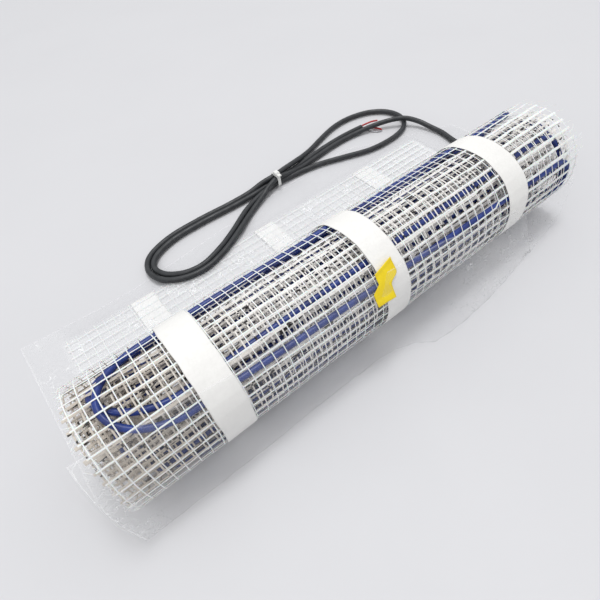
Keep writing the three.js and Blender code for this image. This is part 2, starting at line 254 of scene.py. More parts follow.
def new_mesh(name, verts, faces, material, smooth_faces=True):
    mesh = bpy.data.meshes.new(name)
    verts = np.asarray(verts, np.float64)
    mesh.from_pydata(verts.tolist(), [], [[int(i) for i in face] for face in faces])
    mesh.materials.append(material)
    mesh.polygons.foreach_set("use_smooth", [smooth_faces] * len(mesh.polygons))
    mesh.update()
    obj = bpy.data.objects.new(name, mesh)
    bpy.context.scene.collection.objects.link(obj)
    return obj


def tube_faces(rings, sides):
    """Quads between rings of points, with a face that closes each end."""
    i = np.arange(rings - 1)[:, None] * sides
    j = np.arange(sides)[None, :]
    k = (j + 1) % sides
    quads = np.stack([i + j, i + k, i + sides + k, i + sides + j], -1).reshape(-1, 4)
    last = (rings - 1) * sides
    ends = [list(range(sides))[::-1], [last + n for n in range(sides)]]
    return quads.tolist() + ends


class Threads:
    """Collects flat threads, each a line of points with its own normal, into one mesh."""

    def __init__(self):
        self.verts, self.faces, self.count = [], [], 0

    def add(self, points, normals, half_width, half_height, sides=6):
        points, normals = np.asarray(points), np.asarray(normals)
        along = np.gradient(points, axis=0)
        along /= np.linalg.norm(along, axis=1, keepdims=True) + 1e-12
        across = np.cross(along, normals)
        across /= np.linalg.norm(across, axis=1, keepdims=True) + 1e-12
        if sides == 6:
            section = [(-1, 0), (-0.7, 1), (0.7, 1), (1, 0), (0.7, -1), (-0.7, -1)]
        else:
            section = [(-1, -1), (-0.7, 1), (0.7, 1), (1, -1)]
        width = np.broadcast_to(half_width, (len(points),))[:, None]
        height = np.broadcast_to(half_height, (len(points),))[:, None]
        ring = [points + across * width * a + normals * height * b for a, b in section]
        ring = np.stack(ring, 1).reshape(-1, 3)
        faces = tube_faces(len(points), sides)
        self.verts.append(ring)
        self.faces.extend([[n + self.count for n in f] for f in faces])
        self.count += len(ring)

    def build(self, name, material):
        return new_mesh(name, np.concatenate(self.verts), self.faces, material, smooth_faces=False)


def through(points, step):
    """A centripetal curve through the points, with a point every step."""
    p = np.asarray(points, float)
    p = np.vstack([2 * p[0] - p[1], p, 2 * p[-1] - p[-2]])
    out = []
    for a, b, c, d in zip(p, p[1:], p[2:], p[3:]):
        t = np.cumsum([0, *(np.linalg.norm(v) ** 0.5 + 1e-9 for v in (b - a, c - b, d - c))])
        u = np.linspace(t[1], t[2], 25)[:-1, None]
        ab = (t[1] - u) / (t[1] - t[0]) * a + (u - t[0]) / (t[1] - t[0]) * b
        bc = (t[2] - u) / (t[2] - t[1]) * b + (u - t[1]) / (t[2] - t[1]) * c
        cd = (t[3] - u) / (t[3] - t[2]) * c + (u - t[2]) / (t[3] - t[2]) * d
        abc = (t[2] - u) / (t[2] - t[0]) * ab + (u - t[0]) / (t[2] - t[0]) * bc
        bcd = (t[3] - u) / (t[3] - t[1]) * bc + (u - t[1]) / (t[3] - t[1]) * cd
        out.append((t[2] - u) / (t[2] - t[1]) * abc + (u - t[1]) / (t[2] - t[1]) * bcd)
    line = np.vstack([*out, p[-2][None]])
    run = np.concatenate([[0], np.cumsum(np.linalg.norm(np.diff(line, axis=0), axis=1))])
    even = np.linspace(0, run[-1], max(3, int(run[-1] / step) + 1))
    return np.stack([np.interp(even, run, line[:, i]) for i in range(3)], -1), run[-1]


def round_tube(name, line, radius, sides, material):
    """A round tube along a line of points, with domed ends. radius may differ along it."""
    line = np.asarray(line, float)
    along = np.gradient(line, axis=0)
    along /= np.linalg.norm(along, axis=1, keepdims=True)
    side = np.cross(along[0], (0, 0, 1.0))
    if np.linalg.norm(side) < 0.1:
        side = np.cross(along[0], (1.0, 0, 0))
    frames = []
    for t in along:
        side = side - t * (side @ t)
        side /= np.linalg.norm(side)
        frames.append(side)
    side = np.array(frames)
    up = np.cross(side, along)
    radius = np.broadcast_to(radius, (len(line),))
    # Both ends round off over the last radius.
    head = [(line[0] - along[0] * radius[0] * d, side[0], up[0], radius[0] * r)
            for d, r in ((0.5, 0.55), (0.3, 0.86))]
    tail = [(line[-1] + along[-1] * radius[-1] * d, side[-1], up[-1], radius[-1] * r)
            for d, r in ((0.3, 0.86), (0.5, 0.55))]
    body = list(zip(line, side, up, radius))
    a = 2 * math.pi * np.arange(sides) / sides
    rings = [
        c + (np.cos(a)[:, None] * u + np.sin(a)[:, None] * v) * r
        for c, u, v, r in [*head, *body, *tail]
    ]
    return new_mesh(name, np.concatenate(rings), tube_faces(len(rings), sides), material)


def turned(name, profile, steps, axis, material):
    """A closed solid turned about a line along X: profile gives (x, radius) pairs."""
    a = 2 * math.pi * np.arange(steps) / steps
    rings = [
        np.stack([np.full(steps, x), axis[0] + r * np.cos(a), axis[1] + r * np.sin(a)], -1)
        for x, r in profile
    ]
    return new_mesh(name, np.concatenate(rings), tube_faces(len(rings), steps), material)


def grid_faces(rows, cols):
    i = (np.arange(rows - 1)[:, None] * cols + np.arange(cols - 1)[None, :]).reshape(-1)
    return np.stack([i, i + 1, i + cols + 1, i + cols], -1)


def sheet_faces(rows, cols):
    """Faces of a thin closed sheet: its front grid, its back grid and the walls between them."""
    count = rows * cols
    front = grid_faces(rows, cols)
    i = np.arange(count).reshape(rows, cols)
    rim = np.concatenate([i[:, 0], i[-1, 1:], i[-2::-1, -1], i[0, -2:0:-1]])
    after = np.roll(rim, -1)
    walls = np.stack([rim, after, after + count, rim + count], -1)
    return np.concatenate([front, front[:, ::-1] + count, walls])


# Shader groups and materials


class Nodes:
    """A short way to add nodes to a tree and link them."""

    def __init__(self, tree):
        self.tree = tree

    def add(self, kind, inputs=None, **settings):
        node = self.tree.nodes.new(kind)
        for key, value in settings.items():
            setattr(node, key, value)
        for key, value in (inputs or {}).items():
            socket = node.inputs[key]
            if isinstance(value, bpy.types.NodeSocket):
                self.tree.links.new(value, socket)
            else:
                socket.default_value = value
        return node

    def math(self, operation, a, b=0.0, clamp=False):
        node = self.add("ShaderNodeMath", operation=operation, use_clamp=clamp)
        for socket, value in zip(node.inputs, (a, b)):
            if isinstance(value, bpy.types.NodeSocket):
                self.tree.links.new(value, socket)
            else:
                socket.default_value = value
        return node.outputs[0]

    def blend(self, factor, a, b, how="MIX"):
        node = self.add("ShaderNodeMix", data_type="RGBA", blend_type=how)
        self.tree.links.new(factor, node.inputs["Factor"])
        for socket, colour in ((node.inputs["A"], a), (node.inputs["B"], b)):
            if isinstance(colour, bpy.types.NodeSocket):
                self.tree.links.new(colour, socket)
            else:
                socket.default_value = (*colour, 1)
        return node.outputs["Result"]

    def noise(self, scale, detail=3.0, stretch=(1, 1, 1)):
        where = self.add("ShaderNodeTexCoord").outputs["Object"]
        mapped = self.add("ShaderNodeMapping", {"Vector": where, "Scale": stretch})
        inputs = {"Vector": mapped.outputs[0], "Scale": scale, "Detail": detail}
        return self.add("ShaderNodeTexNoise", inputs).outputs["Fac"]

    def ramp(self, value, low, high):
        inputs = {"Value": value, "From Min": low, "From Max": high}
        return self.add("ShaderNodeMapRange", inputs, clamp=True).outputs[0]


def mottle_group():
    """Two colours blended by soft blotches with a finer speckle on them."""
    tree = bpy.data.node_groups.get("Mottle")
    if tree:
        return tree
    tree = bpy.data.node_groups.new("Mottle", "ShaderNodeTree")
    for name, kind, default in (
        ("Light", "NodeSocketColor", (0.8, 0.8, 0.8, 1)),
        ("Dark", "NodeSocketColor", (0.5, 0.5, 0.5, 1)),
        ("Scale", "NodeSocketFloat", 60.0),
        ("Speckle", "NodeSocketFloat", 0.3),
    ):
        tree.interface.new_socket(name, in_out="INPUT", socket_type=kind).default_value = default
    tree.interface.new_socket("Color", in_out="OUTPUT", socket_type="NodeSocketColor")
    tree.interface.new_socket("Mask", in_out="OUTPUT", socket_type="NodeSocketFloat")
    n = Nodes(tree)
    given = n.add("NodeGroupInput").outputs
    where = n.add("ShaderNodeTexCoord").outputs["Object"]
    broad = n.add("ShaderNodeTexNoise", {"Vector": where, "Scale": given["Scale"], "Detail": 3.0})
    fine_scale = n.math("MULTIPLY", given["Scale"], 13.0)
    fine = n.add("ShaderNodeTexNoise", {"Vector": where, "Scale": fine_scale, "Detail": 2.0})
    broad_mask = n.ramp(broad.outputs["Fac"], 0.35, 0.68)
    fine_mask = n.ramp(fine.outputs["Fac"], 0.4, 0.66)
    speckle = n.math("MULTIPLY", fine_mask, given["Speckle"])
    mask = n.math("ADD", n.math("MULTIPLY", broad_mask, 0.7), speckle, clamp=True)
    colour = n.blend(mask, given["Light"], given["Dark"])
    out = n.add("NodeGroupOutput")
    tree.links.new(colour, out.inputs["Color"])
    tree.links.new(mask, out.inputs["Mask"])
    return tree


def grain_group():
    """A bumped normal with a fine grain, which may be drawn out along X, Y or Z."""
    tree = bpy.data.node_groups.get("Grain")
    if tree:
        return tree
    tree = bpy.data.node_groups.new("Grain", "ShaderNodeTree")
    for name, kind, default in (
        ("Scale", "NodeSocketFloat", 900.0),
        ("Stretch", "NodeSocketVector", (1, 1, 1)),
        ("Strength", "NodeSocketFloat", 0.3),
        ("Height", "NodeSocketFloat", 0.0001),
    ):
        tree.interface.new_socket(name, in_out="INPUT", socket_type=kind).default_value = default
    tree.interface.new_socket("Normal", in_out="OUTPUT", socket_type="NodeSocketVector")
    tree.interface.new_socket("Mask", in_out="OUTPUT", socket_type="NodeSocketFloat")
    n = Nodes(tree)
    given = n.add("NodeGroupInput").outputs
    where = n.add("ShaderNodeTexCoord").outputs["Object"]
    mapped = n.add("ShaderNodeMapping", {"Vector": where, "Scale": given["Stretch"]})
    inputs = {"Vector": mapped.outputs[0], "Scale": given["Scale"], "Detail": 4.0}
    grain = n.add("ShaderNodeTexNoise", inputs).outputs["Fac"]
    inputs = {"Height": grain, "Strength": given["Strength"], "Distance": given["Height"]}
    bump = n.add("ShaderNodeBump", inputs)
    out = n.add("NodeGroupOutput")
    tree.links.new(bump.outputs["Normal"], out.inputs["Normal"])
    tree.links.new(grain, out.inputs["Mask"])
    return tree


def surface(name, light, dark, *, scale=60, speckle=0.3, grain=900, stretch=(1, 1, 1),
            strength=0.3, height=0.1 * MM, roughness=(0.4, 0.6), **sockets):
    """A material of mottled colour, grained relief and uneven roughness."""
    material = bpy.data.materials.new(name)
    material.use_nodes = True
    n = Nodes(material.node_tree)
    shader = material.node_tree.nodes["Principled BSDF"]
    mottle = n.add("ShaderNodeGroup", node_tree=mottle_group())
    mottle.inputs["Light"].default_value = (*light, 1)
    mottle.inputs["Dark"].default_value = (*dark, 1)
    mottle.inputs["Scale"].default_value = scale
    mottle.inputs["Speckle"].default_value = speckle
    relief = n.add("ShaderNodeGroup", node_tree=grain_group())
    relief.inputs["Scale"].default_value = grain
    relief.inputs["Stretch"].default_value = stretch
    relief.inputs["Strength"].default_value = strength
    relief.inputs["Height"].default_value = height
    rough = n.add("ShaderNodeMapRange", {"Value": mottle.outputs["Mask"]}, clamp=True)
    rough.inputs["To Min"].default_value, rough.inputs["To Max"].default_value = roughness
    links = material.node_tree.links
    links.new(mottle.outputs["Color"], shader.inputs["Base Color"])
    links.new(relief.outputs["Normal"], shader.inputs["Normal"])
    links.new(rough.outputs[0], shader.inputs["Roughness"])
    for socket, value in sockets.items():
        shader.inputs[socket.replace("_", " ")].default_value = value
    return material


def thread_material():
    """Coated glass-fibre thread: white, a little glossy, with fine fibres along it."""
    return surface(
        "glass_fibre_thread", (0.92, 0.92, 0.905), (0.78, 0.78, 0.765), scale=45, speckle=0.25,
        grain=1600, strength=0.35, height=0.08 * MM, roughness=(0.32, 0.55),
        Subsurface_Weight=0.15, Subsurface_Scale=0.002,
    )


def cable_material():
    return surface(
        "blue_cable_sheath", (0.016, 0.045, 0.25), (0.007, 0.019, 0.125), scale=70, speckle=0.35,
        grain=1100, strength=0.25, height=0.06 * MM, roughness=(0.3, 0.46),
    )


def lead_material():
    return surface(
        "black_lead_sheath", (0.035, 0.038, 0.042), (0.018, 0.02, 0.023), scale=120, speckle=0.5,
        grain=1500, strength=0.3, height=0.06 * MM, roughness=(0.36, 0.55),
    )


def tape_material():
    """White fabric tape, woven finely, with a slight warm tint and worn spots."""
    return surface(
        "white_fabric_tape", (0.90, 0.89, 0.865), (0.83, 0.82, 0.795), scale=35, speckle=0.35,
        grain=2600, stretch=(1, 0.35, 0.35), strength=0.3, height=0.06 * MM,
        roughness=(0.5, 0.68),
    )


def tie_material():
    return surface(
        "white_nylon", (0.86, 0.86, 0.84), (0.74, 0.74, 0.72), scale=200, grain=1800,
        strength=0.15, height=0.04 * MM, roughness=(0.3, 0.42),
    )


def tag_material():
    return surface(
        "yellow_tag", (0.95, 0.74, 0.005), (0.84, 0.61, 0.003), scale=90, speckle=0.3,
        grain=1400, strength=0.25, height=0.06 * MM, roughness=(0.38, 0.55),
    )


def sleeve_material():
    return surface(
        "heat_shrink", (0.03, 0.03, 0.032), (0.016, 0.016, 0.018), scale=110, grain=700,
        strength=0.3, height=0.1 * MM, roughness=(0.4, 0.6),
    )


def core_material(name, light, dark):
    return surface(name, light, dark, scale=400, grain=1600, strength=0.2, height=0.03 * MM,
                   roughness=(0.25, 0.4))


def screen_material():
    return surface(
        "tinned_strands", (0.5, 0.5, 0.52), (0.28, 0.28, 0.3), scale=600, speckle=0.6, grain=2500,
        strength=0.5, height=0.05 * MM, roughness=(0.3, 0.45), Metallic=0.9,
    )


def film_material():
    """Clear film: thin and grey face on, a painted shade over what lies behind it; whiter along its
    creases, its cut edge and edge on, as painted glints, highlight and reflection.
    """
    # Painted shade: the film's grey colour darkens whatever is seen through it.
    material = surface(
        "clear_film", (0.58, 0.59, 0.61), (0.46, 0.47, 0.49), scale=28, speckle=0.1, grain=95,
        strength=0.7, height=0.8 * MM, roughness=(0.07, 0.16),
    )
    n = Nodes(material.node_tree)
    shader = material.node_tree.nodes["Principled BSDF"]
    # Painted reflection: the film grows more opaque edge on, standing in for the light it reflects at
    # a slant.
    facing = n.add("ShaderNodeLayerWeight", {"Blend": 0.35}).outputs["Facing"]
    edge = n.math("POWER", facing, 2.0)
    haze = n.ramp(n.noise(21, 3.0), 0.38, 0.72)
    base = shader.inputs["Base Color"].links[0].from_socket
    # Painted glints: hair-thin white creases where a broad noise crosses its middle value, in
    # patches.
    wander = n.noise(120, 2.0)
    near = n.math("ABSOLUTE", n.math("SUBTRACT", wander, 0.5))
    crease_glint = n.ramp(near, 0.02, 0.005)
    patches = n.ramp(n.noise(48, 2.0), 0.50, 0.62)
    # Painted sheen: crumpled parts are whitened, and only there do the crease glints show.
    crumple_sheen = n.add("ShaderNodeAttribute", attribute_name="crumple_sheen").outputs["Fac"]
    crease_glint = n.math("MULTIPLY", crease_glint, n.math("MULTIPLY", patches, crumple_sheen))
    # Painted highlight: the film's cut edge is drawn whiter and more opaque, as if it shone.
    rim = n.add("ShaderNodeAttribute", attribute_name="rim").outputs["Fac"]
    # Painted shade and reflection: the film is more opaque and grey where it stands up the roll's
    # front, and most opaque and whitened over the free end.
    shade_and_sheen_veil = n.add("ShaderNodeAttribute", attribute_name="shade_and_sheen_veil").outputs["Fac"]
    alpha = n.math("ADD", n.math("MULTIPLY", edge, 0.36), n.math("MULTIPLY", haze, 0.06))
    alpha = n.math("ADD", alpha, n.math("MULTIPLY", shade_and_sheen_veil, 0.30))
    alpha = n.math("ADD", alpha, n.math("MULTIPLY", crease_glint, 0.7))
    alpha = n.math("ADD", alpha, n.math("MULTIPLY", rim, 0.14), clamp=True)
    # It dims what lies beneath it much less than it shows.
    seen = n.add("ShaderNodeLightPath").outputs["Is Camera Ray"]
    alpha = n.math("MULTIPLY", alpha, n.math("ADD", n.math("MULTIPLY", seen, 0.75), 0.25))
    # Painted glints, highlight and sheen: how far the grey tint is blended towards white.
    white = n.math("MAXIMUM", crease_glint, n.math("MAXIMUM", rim, n.math("MULTIPLY", crumple_sheen, 0.62)))
    links = material.node_tree.links
    links.new(n.blend(white, base, (0.96, 0.965, 0.97)), shader.inputs["Base Color"])
    links.new(alpha, shader.inputs["Alpha"])
    return material


def inner_thread_material():
    """Threads deep in the roll, with painted shade: near-black dashes for the shaded gaps between
    them, and a darker, warmer tint at the left end.
    """
    material = surface(
        "inner_thread", (0.96, 0.94, 0.905), (0.84, 0.81, 0.77), scale=60, speckle=0.3,
        grain=1600, strength=0.35, height=0.08 * MM, roughness=(0.4, 0.6),
    )
    n = Nodes(material.node_tree)
    shader = material.node_tree.nodes["Principled BSDF"]
    base = shader.inputs["Base Color"].links[0].from_socket
    where = n.add("ShaderNodeTexCoord").outputs["Object"]
    along = n.add("ShaderNodeSeparateXYZ", {"Vector": where}).outputs["X"]
    # Painted shade: the deep threads turn darker and warmer towards the roll's left end.
    warm = n.blend(n.ramp(along, -0.10, -0.21), base, (0.68, 0.635, 0.58), "MULTIPLY")
    # Painted shade: near-black dashes on the threads stand in for the shade in the gaps between the
    # turns.
    painted_gap_shade = n.ramp(n.noise(250, 1.0, (0.3, 1, 1)), 0.62, 0.66)
    colour = n.blend(painted_gap_shade, warm, (0.035, 0.03, 0.028))
    material.node_tree.links.new(colour, shader.inputs["Base Color"])
    return material


def floor_material():
    return surface(
        "pale_floor", (0.65, 0.65, 0.668), (0.63, 0.63, 0.648), scale=4, speckle=0.05, grain=60,
        strength=0.04, height=0.2 * MM, roughness=(0.55, 0.65),
    )


# The mat's settings, as they show in the sidebar


class MatSettings(bpy.types.PropertyGroup):
    ring_step: bpy.props.FloatProperty(
        name="Ring step",
        description="Length of one piece of a thread that runs round the roll, in metres",
        default=4 * MM, min=MM, max=20 * MM,
    )
    cross_step: bpy.props.FloatProperty(
        name="Cross step",
        description="Length of one piece of a thread that runs along the roll, in metres",
        default=5 * MM, min=MM, max=20 * MM,
    )
    ring_width: bpy.props.FloatProperty(
        name="Ring width",
        description="Width of the threads that run round the roll, in metres",
        default=0.85 * MM, min=0.2 * MM, max=4 * MM,
    )
    cross_width: bpy.props.FloatProperty(
        name="Cross width",
        description="Width of the outer turn's threads that run along the roll, in metres",
        default=1.25 * MM, min=0.2 * MM, max=6 * MM,
    )
    inner_width: bpy.props.FloatProperty(
        name="Inner width",
        description="Width of the same threads in the inner turns, where they spread, in metres",
        default=2.7 * MM, min=0.2 * MM, max=8 * MM,
    )
    loose_fibres: bpy.props.IntProperty(
        name="Loose fibres",
        description="Number of loose fibre ends at each end of the roll",
        default=260, min=0, max=2000,
    )


class StudioSettings(bpy.types.PropertyGroup):
    lens: bpy.props.FloatProperty(
        name="Lens", description="The camera's focal length in millimetres",
        default=CAMERA_LENS, min=10, max=200,
    )
    key_power: bpy.props.FloatProperty(
        name="Key power", description="Power of the large light above and behind, in watts",
        default=76.0, min=0, max=500,
    )
    sky: bpy.props.FloatProperty(
        name="Sky", description="Strength of the even light from all round",
        default=0.82, min=0, max=5,
    )


# Pieces


def mesh_threads(builder, s0, s1, rng, *, sides, ring_step, cross_step, ring_width, cross_width):
    """Both sets of threads of the mat between s0 and s1."""
    count = int(round(2 * END_X / THREAD_PITCH)) + 1
    rows = max(3, int((s1 - s0) / ring_step))
    s = np.linspace(s0, s1, rows)
    for x in np.linspace(-END_X + MM, END_X - MM, count):
        lean = EDGE_RIPPLE(x, s) * 0.45 * MM
        points, normals = on_mat(x + lean, s, -CROSSING_DEPTH)
        width = ring_width * (0.9 + 0.2 * rng.random())
        builder.add(points, normals, width / 2, THREAD_HALF_HEIGHT, sides)
    cols = max(3, int(2 * END_X / cross_step))
    x = np.linspace(-END_X - 2 * MM, END_X + 2 * MM, cols)
    first = math.ceil(s0 / THREAD_PITCH)
    for place in np.arange(first, int(s1 / THREAD_PITCH) + 1) * THREAD_PITCH + FIRST_THREAD:
        if not s0 <= place <= s1:
            continue
        lean = EDGE_RIPPLE(x + 0.3, place) * 0.55 * MM
        points, normals = on_mat(x, beside_runs(x, place) + lean, CROSSING_DEPTH)
        width = cross_width * (0.85 + 0.3 * rng.random())
        spread = 1 + 1.1 * smooth((x - 0.08) / 0.12) if s0 < MM else 1.0
        width = width * (1 + 0.18 * FINE_RIPPLE(x, place * 3)) * spread
        builder.add(points, normals, width / 2, THREAD_HALF_HEIGHT, sides)


def finish_piece(obj, slot, *nodes):
    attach(obj, "root")
    if nodes:
        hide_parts(*nodes)
    return obj


def cable_line():
    """The heating cable's line from the sleeve to the mat's inner end, in x and s."""
    places = run_places()
    left = -(END_X - LEFT_TURN[0] - LEFT_TURN[1])
    right = END_X - RIGHT_TURN[0] - RIGHT_TURN[1]

    def run(x0, x1, a, b):
        t = np.linspace(0, 1, 40)
        return [(x0 + (x1 - x0) * v, a + (b - a) * v) for v in t]

    def turn(side, shape, a, b):
        inset, reach, squareness = shape
        start = END_X - inset - reach
        c = np.cos(np.linspace(0, math.pi, 31))[1:-1]
        out = np.maximum(0, 1 - np.abs(c) ** squareness) ** (1 / squareness)
        return [(side * (start + reach * o), (a + b) / 2 + (a - b) / 2 * v) for o, v in zip(out, c)]

    line = []
    for i, (at_left, at_right) in enumerate(places):
        from_right = i % 2 == 0
        if from_right:
            x0 = SLEEVE_LOW.x if i == 0 else right
            line += run(x0, left, at_right, at_left)
        else:
            line += run(left, right, at_left, at_right)
        if i + 1 < len(places):
            side, shape, k = (-1, LEFT_TURN, 0) if from_right else (1, RIGHT_TURN, 1)
            line += turn(side, shape, places[i][k], places[i + 1][k])
    return np.array(line)


class HEATMAT_OT_studio(bpy.types.Operator):
    """Make the floor, the soft light and the camera of the photograph"""

    bl_idname = "heatmat.studio"
    bl_label = "Studio"

    def execute(self, context):
        settings = context.scene.heatmat_studio
        a, e = math.radians(CAMERA_AZIMUTH), math.radians(CAMERA_ELEVATION)
        back = Vector((math.sin(a) * math.cos(e), -math.cos(a) * math.cos(e), math.sin(e)))
        right = (-back).cross(Vector((0, 0, 1))).normalized()
        up = right.cross(-back)
        r = math.radians(CAMERA_ROLL)
        turned_right = right * math.cos(r) + up * math.sin(r)
        turned_up = up * math.cos(r) - right * math.sin(r)
        data = bpy.data.cameras.new("camera")
        data.sensor_width = SENSOR_WIDTH
        data.lens = settings.lens
        data.clip_start = 0.01
        camera = bpy.data.objects.new("camera", data)
        rotation = Matrix((turned_right, turned_up, back)).transposed().to_4x4()
        place = CAMERA_TARGET + back * CAMERA_DISTANCE
        camera.matrix_world = Matrix.Translation(place) @ rotation
        context.scene.collection.objects.link(camera)
        context.scene.camera = camera
        self.light(context, "key", (0.9, 0.75, 4.6), (0.0, 0.0, 0.0), 1.2, settings.key_power)
        self.light(context, "side", (-1.5, -0.5, 1.3), (-0.1, 0.0, 0.03), 0.3,
                   settings.key_power * 0.04)
        world = bpy.data.worlds.new("studio")
        world.use_nodes = True
        background = world.node_tree.nodes["Background"]
        background.inputs["Color"].default_value = (0.985, 0.99, 1.0, 1)
        # The even light is stronger from overhead than from the sides.
        n = Nodes(world.node_tree)
        way = n.add("ShaderNodeTexCoord").outputs["Generated"]
        height = n.add("ShaderNodeSeparateXYZ", {"Vector": way}).outputs["Z"]
        level = n.math("ADD", n.math("MULTIPLY", n.ramp(height, 0, 1), 0.75), 0.5)
        strength = n.math("MULTIPLY", level, settings.sky)
        world.node_tree.links.new(strength, background.inputs["Strength"])
        context.scene.world = world
        context.scene.view_settings.view_transform = "Standard"
        self.floor(context)
        return {"FINISHED"}

    def light(self, context, name, place, target, size, power):
        data = bpy.data.lights.new(name, "AREA")
        data.size = size
        data.energy = power
        lamp = bpy.data.objects.new(name, data)
        lamp.location = place
        aim = Vector(target) - Vector(place)
        lamp.rotation_euler = aim.to_track_quat("-Z", "Y").to_euler()
        context.scene.collection.objects.link(lamp)

    def floor(self, context):
        half, steps = 3.0, 13
        u = np.linspace(-half, half, steps)
        verts = [(x, y, -0.05 * MM) for y in u for x in u]
        floor = new_mesh("floor", verts, grid_faces(steps, steps), floor_material())


class HEATMAT_OT_cold_lead(bpy.types.Operator):
    """Make the black cold lead in its two loops, its tie and its bare ends"""

    bl_idname = "heatmat.cold_lead"
    bl_label = "Cold lead"

    def execute(self, context):
        route = LEAD_FROM_SLEEVE + LEAD_LOOP_OUTER + LEAD_RIGHT_LOOP + LEAD_LOOP_INNER + LEAD_END
        line, length = through(np.array(route) * MM, 3 * MM)
        black = lead_material()
        lead = round_tube("lead", line, LEAD_R, 14, black)
        finish_piece(lead, "lead", "cold_lead", "lead_hank_right", "lead_hank_left")
        tie = finish_piece(self.tie(), "tie", "cable_tie")
        red = core_material("red_core", (0.55, 0.03, 0.03), (0.36, 0.015, 0.015))
        ends = [
            self.core("core_a", [(225, 237.4, 4.4), (233, 238.2, 4.2), (241, 236.6, 4.6),
                                 (248, 235.4, 4.4), (255, 233.2, 3.4)], 1.15, red, "conductor_a"),
            self.core("core_b", [(225, 235.6, 3.4), (232, 232.4, 2.2), (239, 226, 1.8),
                                 (243, 219, 1.8), (244, 213, 1.9)], 1.15, red, "conductor_b"),
            self.core("screen", [(225, 236.4, 2.4), (229, 229, 1.6), (232, 220, 1.4),
                                 (237, 213.6, 1.4), (243, 211, 1.4)], 0.8, screen_material(),
                      "screen_wire"),
        ]
        return {"FINISHED"}

    def core(self, name, points, radius, material, node):
        line, _ = through(np.array(points, float) * MM, 1 * MM)
        slot = "screen_wire" if node == "screen_wire" else "conductor"
        return finish_piece(round_tube(name, line, radius * MM, 10, material), slot, node)

    def tie(self):
        """A band with rounded corners round the four strands, its head and its cut tail."""
        centre = Vector((TIE_AT.x, TIE_AT.y, 8.45 * MM))
        half_y, half_z, corner, wall, width = (v * MM for v in (7.1, 7.1, 3.6, 1.1, 4.6))
        outline = []
        for cy, cz, start in ((1, 1, 0), (-1, 1, 90), (-1, -1, 180), (1, -1, 270)):
            for k in range(7):
                a = math.radians(start + 15 * k)
                n = (math.cos(a), math.sin(a))
                outline.append((cy * (half_y - corner), cz * (half_z - corner), n))
        profile = [(-width / 2, 0), (-width / 2 + 0.4 * MM, wall), (width / 2 - 0.4 * MM, wall),
                   (width / 2, 0)]
        verts, faces = [], []
        for y, z, n in outline:
            for x, h in profile:
                verts.append(centre + Vector((x, y + n[0] * (corner + h), z + n[1] * (corner + h))))
        rows, cols = len(outline), len(profile)
        for i in range(rows):
            for j in range(cols):
                a, b = i * cols + j, i * cols + (j + 1) % cols
                c, d = ((i + 1) % rows) * cols + (j + 1) % cols, ((i + 1) % rows) * cols + j
                faces.append((a, b, c, d))
        count = len(verts)
        top = centre + Vector((0, -2.4 * MM, half_z + wall))
        for place, size, taper in ((top, (3.2, 3.6, 4.6), 0.82), (
                top + Vector((0, -5.4 * MM, 1.6 * MM)), (2.3, 3.0, 1.1), 0.9)):
            for h, scale in ((-0.6, 1.0), (size[2] * 0.7, 1.0), (size[2], taper)):
                for sx, sy in ((-1, -1), (1, -1), (1, 1), (-1, 1)):
                    off = Vector((sx * size[0] * scale, sy * size[1] * scale, h)) * MM
                    verts.append(place + off)
            faces += [[count + f for f in face] for face in tube_faces(3, 4)]
            count = len(verts)
        tie = new_mesh("tie", verts, faces, tie_material(), smooth_faces=False)
        bevel = tie.modifiers.new("edges", "BEVEL")
        bevel.width = 0.35 * MM
        bevel.segments = 2
        return tie


class HEATMAT_OT_mesh(bpy.types.Operator):
    """Make the glass-fibre mesh: the outer turn, the inner turns, the free end and loose fibres"""

    bl_idname = "heatmat.mesh"
    bl_label = "Glass-fibre mesh"

    def execute(self, context):
        settings = context.scene.heatmat_mat
        rng = np.random.default_rng(SEED)
        white = thread_material()
        widths = {"ring_width": settings.ring_width, "cross_width": settings.cross_width}
        one_turn = length_at(2 * math.pi)
        outer = Threads()
        mesh_threads(outer, 0, one_turn, rng, sides=6, ring_step=settings.ring_step,
                     cross_step=settings.cross_step, **widths)
        finish_piece(outer.build("mesh_outer_turn", white), "mesh", "mat_roll")
        deep = inner_thread_material()
        inner = Threads()
        mesh_threads(inner, one_turn, length_at(2 * math.pi * TURNS), rng, sides=4,
                     ring_step=1.6 * settings.ring_step, cross_step=1.6 * settings.cross_step,
                     ring_width=1.6 * settings.ring_width, cross_width=settings.inner_width)
        finish_piece(inner.build("mesh_inner_turns", deep), "mesh")
        tail = Threads()
        mesh_threads(tail, -TAIL_END, 0, rng, sides=6, ring_step=2 * settings.ring_step,
                     cross_step=settings.cross_step, **widths)
        finish_piece(tail.build("mesh_free_end", white), "mesh", "mat_tail")
        fibres = self.fibres(rng, settings.loose_fibres)
        finish_piece(fibres.build("loose_fibres", white), "mesh")
        return {"FINISHED"}

    def fibres(self, rng, count):
        """Bent fibre ends that stand out of both ends of every turn, longer at the right."""
        fibres = Threads()
        for side, longest in ((-1, 9), (1, 19)):
            for _ in range(count):
                s = rng.uniform(0, length_at(2 * math.pi * (TURNS - 1)))
                reach = rng.uniform(3, longest) * MM
                t = np.linspace(0, 1, 9)
                x = side * (END_X - 3 * MM + reach * t)
                bend = rng.normal(0, 4 * MM) * t**2
                bend = bend + rng.uniform(0, 1.6 * MM) * np.sin(t * rng.uniform(4, 9)) * t
                lift = -abs(rng.normal(0, 1.6 * MM)) * t**2
                points, normals = on_mat(x, np.maximum(s + bend, 0.1 * MM), -lift)
                fibres.add(points, normals, rng.uniform(0.1, 0.26) * MM, 0.1 * MM, 4)
        return fibres


